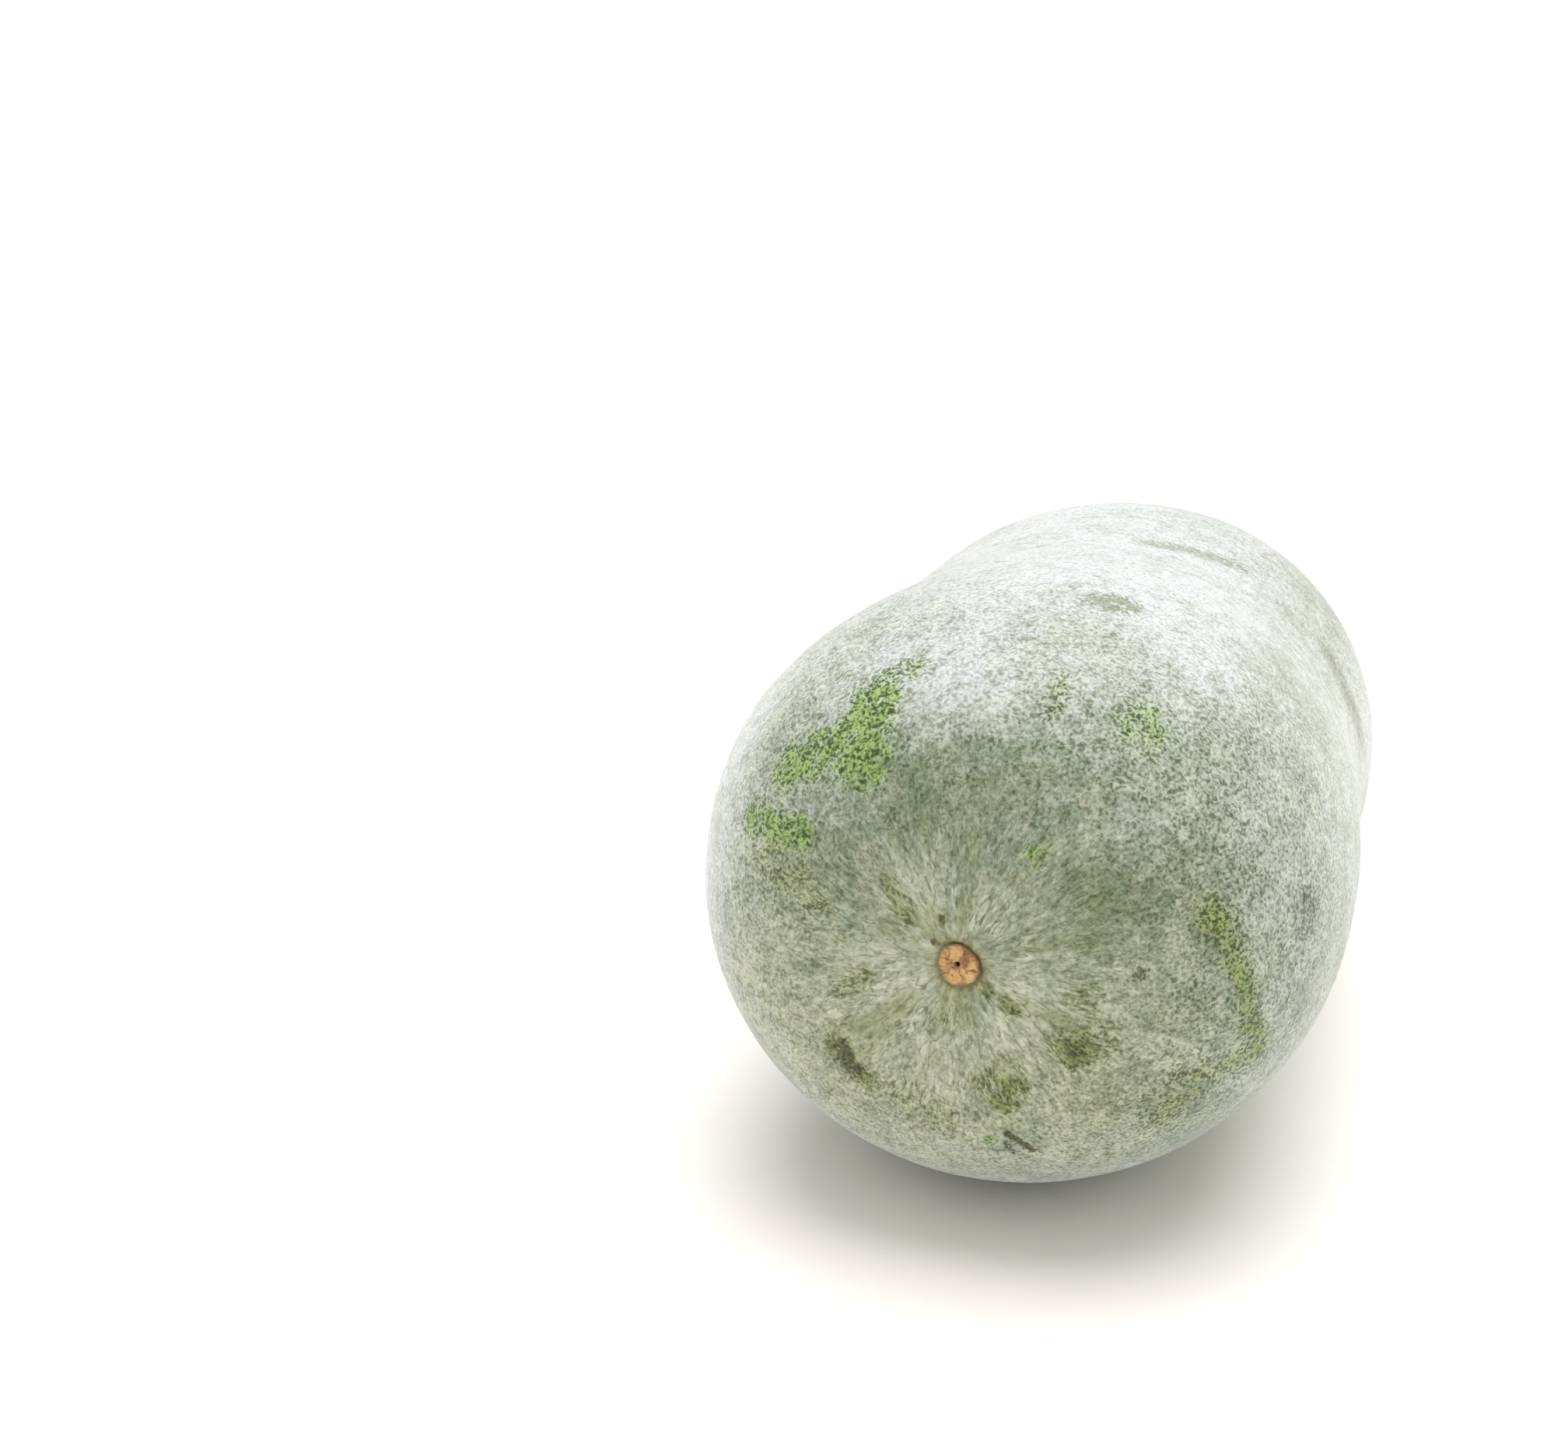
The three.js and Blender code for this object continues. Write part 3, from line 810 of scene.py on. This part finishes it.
# %% Waxy rind: gloss and relief
# Bare skin is a hard, slightly glossy surface, and the bloom over it is quite matt.
gloss = add(tree, "MapRange", {0: flecks, 1: 0.0, 2: 1.0, 3: 0.85, 4: 0.6})
bump = add(tree, "Bump", {"Strength": 0.5, "Distance": 0.35 * MM, "Height": threads})
fine_relief = add(
    tree, "Bump", {"Strength": 0.35, "Distance": 0.6 * MM, "Height": mottle, "Normal": bump.outputs[0]},
)
surface_shader = add(
    tree, "BsdfPrincipled",
    {
        "Base Color": base,
        "Roughness": gloss,
        "Normal": fine_relief.outputs[0],
        "IOR": 1.45,
        "Specular IOR Level": 0.35,
        "Sheen Weight": 0.5,
        "Sheen Roughness": 0.45,
        "Sheen Tint": colour("#FFFFFF"),
    },
)
add(tree, "OutputMaterial", {"Surface": surface_shader.outputs[0]})
gourd.data.materials.append(rind)
print("waxy_rind:", len(tree.nodes), "nodes")

# %% [markdown]
# ## The stem
#
# The fruit hung on a ribbed stem, which was cut through on a slant with a knife and left as a short stub. It
# dries dark and woody: the ribs stand out, the cut face turns grey-beige, and the foot flares where it grows
# out of the fruit. It could be a cylinder with a bump map, but its ribs show in its outline, so they are real
# geometry: rings of points whose radius swells at each rib and towards the foot. The same rings, drawn in
# towards the middle, close the cut face.

# %% Build the stem
STEM_AROUND = 160
STEM_RINGS = 56
CUT_RINGS = 18
STEM_RADIUS = 8.6 * MM
FOOT_RADIUS = 11.5 * MM
FLARE_HEIGHT = 9 * MM
CUT_SLANT = math.radians(17)
RIB_TWIST = 0.3  # how far the ribs turn from foot to cut, in radians
SINK = 1.2 * MM  # how deep the foot is set into the rind
FACE_DIP = 1.0 * MM  # how far the cut face dips inside its rim
PITH_SUNK = 1.6 * MM  # how much deeper its middle is
# Each rib: its place on a clock face, how wide it is, and how far it stands out, in mm.
STEM_RIB_LIST = ((0.4, 0.55, 1.5), (2.5, 0.75, 1.9), (4.6, 0.5, 1.3), (7.2, 0.85, 2.0), (9.9, 0.6, 1.7))

_, stem_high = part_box("stem")
seat_here = pole_back
stem_length = (float(stem_high[1]) - seat_here[1]) / axis[1]
stem_turns = np.arange(STEM_AROUND) / STEM_AROUND * 2 * math.pi
stem_out = np.outer(np.sin(stem_turns), side) + np.outer(np.cos(stem_turns), up)


def stem_radius(turn, height):
    """The stem's radius: five uneven ribs that twist a little, a flared foot, and small faults."""
    radius = np.full(len(turn), STEM_RADIUS - 1.1 * MM)
    for hour, width, out in STEM_RIB_LIST:
        twist = height / stem_length * RIB_TWIST
        off = (turn - on_clock(hour) - twist + math.pi) % (2 * math.pi) - math.pi
        radius += out * MM * np.exp(-((off / (width * 0.62)) ** 2))
    radius += (FOOT_RADIUS - STEM_RADIUS) * np.clip(1 - height / FLARE_HEIGHT, 0, 1) ** 2
    for size, deep, step in ((3, 0.5, 60), (9, 0.3, 120), (20, 0.16, 160)):
        spots = [Vector((math.cos(t) * size, math.sin(t) * size, height * step + size)) for t in turn]
        radius += deep * MM * np.array([noise.noise(spot) for spot in spots])
    return radius


def stem_top(turn, radius):
    """How high the slanted cut is at a turn and a radius."""
    return stem_length - math.tan(CUT_SLANT) * (STEM_RADIUS * 1.05 - radius * np.cos(turn))


stem_points = []
stem_cut = []
for i in range(STEM_RINGS):
    share = i / (STEM_RINGS - 1)
    height = -SINK + share * (stem_length * 0.86 + SINK)
    radius = stem_radius(stem_turns, max(height, 0))
    top = stem_top(stem_turns, radius)
    level = -SINK + share * (top + SINK)
    stem_points.append(seat_here + axis * level[:, None] + stem_out * radius[:, None])
    stem_cut.append(np.zeros(STEM_AROUND))
rim = stem_radius(stem_turns, stem_length)
for i in range(1, CUT_RINGS + 1):
    share = 1 - i / (CUT_RINGS + 1)
    radius = rim * share
    # The knife leaves the rim sharp, and the pith in the middle dries and sinks.
    inward = np.full(STEM_AROUND, 1 - share)
    sunk = FACE_DIP * ramp(inward, 0.1, 0.5) + PITH_SUNK * ramp(inward, 0.78, 0.95)
    rough = [noise.noise(Vector((math.cos(t), math.sin(t), 0)) * share * 9) for t in stem_turns]
    level = stem_top(stem_turns, radius) - sunk + 0.3 * MM * np.array(rough)
    stem_points.append(seat_here + axis * level[:, None] + stem_out * radius[:, None])
    stem_cut.append(np.ones(STEM_AROUND))
stem_grid = np.array(stem_points)
stem_middle = stem_grid[-1].mean(0)
stem_bottom = seat_here - axis * SINK
stem_vertices = np.concatenate([stem_grid.reshape(-1, 3), [stem_middle, stem_bottom]])
stem_rows = len(stem_grid)
stem_faces = [
    (i * STEM_AROUND + j, i * STEM_AROUND + (j + 1) % STEM_AROUND,
     (i + 1) * STEM_AROUND + (j + 1) % STEM_AROUND, (i + 1) * STEM_AROUND + j)
    for i in range(stem_rows - 1) for j in range(STEM_AROUND)
]
stem_end = stem_rows * STEM_AROUND
stem_last = (stem_rows - 1) * STEM_AROUND
stem_faces += [(stem_last + j, stem_last + (j + 1) % STEM_AROUND, stem_end) for j in range(STEM_AROUND)]
stem_faces += [((j + 1) % STEM_AROUND, j, stem_end + 1) for j in range(STEM_AROUND)]

stem_mesh = bpy.data.meshes.new("stem_stub")
stem_mesh.from_pydata(stem_vertices.tolist(), [], stem_faces)
stem_mesh.update()
stem_mesh.shade_smooth()
cut_layer = stem_mesh.attributes.new("cut", "FLOAT", "POINT")
cut_values = np.concatenate([np.array(stem_cut).reshape(-1), [1, 0]])
cut_layer.data.foreach_set("value", cut_values.astype(np.float32))
stem_stub = bpy.data.objects.new("stem_stub", stem_mesh)
bpy.context.scene.collection.objects.link(stem_stub)
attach(stem_stub, "root")
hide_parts("stem")
print("stem:", len(stem_vertices), "vertices, length", round(stem_length / MM, 1), "mm")

# %% [markdown]
# ## Dry stem
#
# Common name: dried gourd stem. It is a bundle of woody fibres under a thin dark bark, cut with a knife and
# left to dry, so it is matt and rough. The bark is dark olive-brown with paler patches where it has rubbed,
# and the fibres run along it. The cut face is grey-beige and open-pored.

# %% Dry stem: bark and cut face
dry = bpy.data.materials.new("dry_stem")
dry.use_nodes = True
tree = dry.node_tree
tree.nodes.clear()
where = add(tree, "TexCoord").outputs["Object"]
# Fibres run along the fruit, so the noise is squeezed across it and drawn out along it.
fibre_way = add(tree, "VectorMath", {0: where, 1: (1.0, 0.12, 1.0)}, operation="MULTIPLY")
fibres = add(
    tree, "TexNoise", {"Vector": fibre_way, "Scale": 1 / (0.8 * MM), "Detail": 4.0, "Roughness": 0.65},
).outputs[0]
patches = add(
    tree, "TexNoise", {"Vector": where, "Scale": 1 / (5 * MM), "Detail": 3.0, "Roughness": 0.6},
).outputs[0]
bark_tone = add(tree, "Mix", {0: 0.45, 2: fibres, 3: patches}).outputs[0]
bark = add(
    tree, "ValToRGB", {0: bark_tone},
    stops=(
        (0.36, colour("#24230F")),
        (0.70, colour("#8E8A70")),
        (0.48, colour("#403E24")),
        (0.58, colour("#625F43")),
    ),
).outputs[0]
pores = add(
    tree, "TexNoise", {"Vector": where, "Scale": 1 / (0.7 * MM), "Detail": 3.0, "Roughness": 0.7},
).outputs[0]
face = add(
    tree, "ValToRGB", {0: pores},
    stops=((0.36, colour("#4E4834")), (0.64, colour("#AAA28C")), (0.48, colour("#857D67"))),
).outputs[0]
cut_mark = add(tree, "Attribute", attribute_name="cut").outputs["Fac"]
stem_colour = add(tree, "Mix", {0: cut_mark, MIX_A: bark, MIX_B: face}, data_type="RGBA").outputs[MIX_COLOUR]
stem_bump = add(tree, "Bump", {"Strength": 0.7, "Distance": 0.5 * MM, "Height": fibres})
stem_gloss = add(tree, "MapRange", {0: patches, 1: 0.3, 2: 0.7, 3: 0.62, 4: 0.85})
stem_shader = add(
    tree, "BsdfPrincipled",
    {
        "Base Color": stem_colour,
        "Roughness": stem_gloss,
        "Normal": stem_bump.outputs[0],
        "IOR": 1.5,
        "Specular IOR Level": 0.3,
    },
)
add(tree, "OutputMaterial", {"Surface": stem_shader.outputs[0]})
stem_stub.data.materials.append(dry)
print("dry_stem:", len(tree.nodes), "nodes")

# %% [markdown]
# ## Floor and light
#
# A plain white floor reaches out so far that its edge is hardly more than the horizon. The light is a white
# room and one very wide, soft light from overhead and a little behind, like a big skylight. So the top of the
# fruit is brightest, its front is evenly lit by the floor, and the only dark shadow is the narrow one where
# it rests. One hard lamp would be quicker to render, but it would throw a shadow with an edge.

# %% Make the floor
FLOOR_REACH = 100.0  # metres from the fruit to the floor's edge

floor_mesh = bpy.data.meshes.new("floor")
corners = [(x * FLOOR_REACH, y * FLOOR_REACH, 0) for x, y in ((-1, -1), (1, -1), (1, 1), (-1, 1))]
floor_mesh.from_pydata(corners, [], [(0, 1, 2, 3)])
floor = bpy.data.objects.new("floor", floor_mesh)
bpy.context.scene.collection.objects.link(floor)
paper = bpy.data.materials.new("white_floor")
paper.use_nodes = True
paper_shader = paper.node_tree.nodes["Principled BSDF"]
paper_shader.inputs["Base Color"].default_value = colour("#F6F3EF")
paper_shader.inputs["Roughness"].default_value = 0.9
paper_shader.inputs["Specular IOR Level"].default_value = 0.1
floor.data.materials.append(paper)
print("floor", 2 * FLOOR_REACH, "m wide")

# %% Light the room
ROOM_STRENGTH = 0.85
LAMP_STRENGTH = 2.62
LAMP_ANGLE = math.radians(60)  # how wide the light looks from the fruit: the wider, the softer its shadow
LAMP_FROM = Vector((0.02, 0.24, 1.0))  # the direction it comes from

world = bpy.data.worlds.new("room")
bpy.context.scene.world = world
world.use_nodes = True
background = world.node_tree.nodes["Background"]
background.inputs["Color"].default_value = colour("#FFFFFF")
background.inputs["Strength"].default_value = ROOM_STRENGTH

lamp_data = bpy.data.lights.new("overhead", "SUN")
lamp_data.energy = LAMP_STRENGTH
lamp_data.angle = LAMP_ANGLE
lamp = bpy.data.objects.new("overhead", lamp_data)
lamp.rotation_euler = LAMP_FROM.to_track_quat("Z", "Y").to_euler()
bpy.context.scene.collection.objects.link(lamp)
bpy.context.scene.view_settings.view_transform = "Standard"
print("the lamp's strength is", LAMP_STRENGTH, "and the room's", ROOM_STRENGTH)
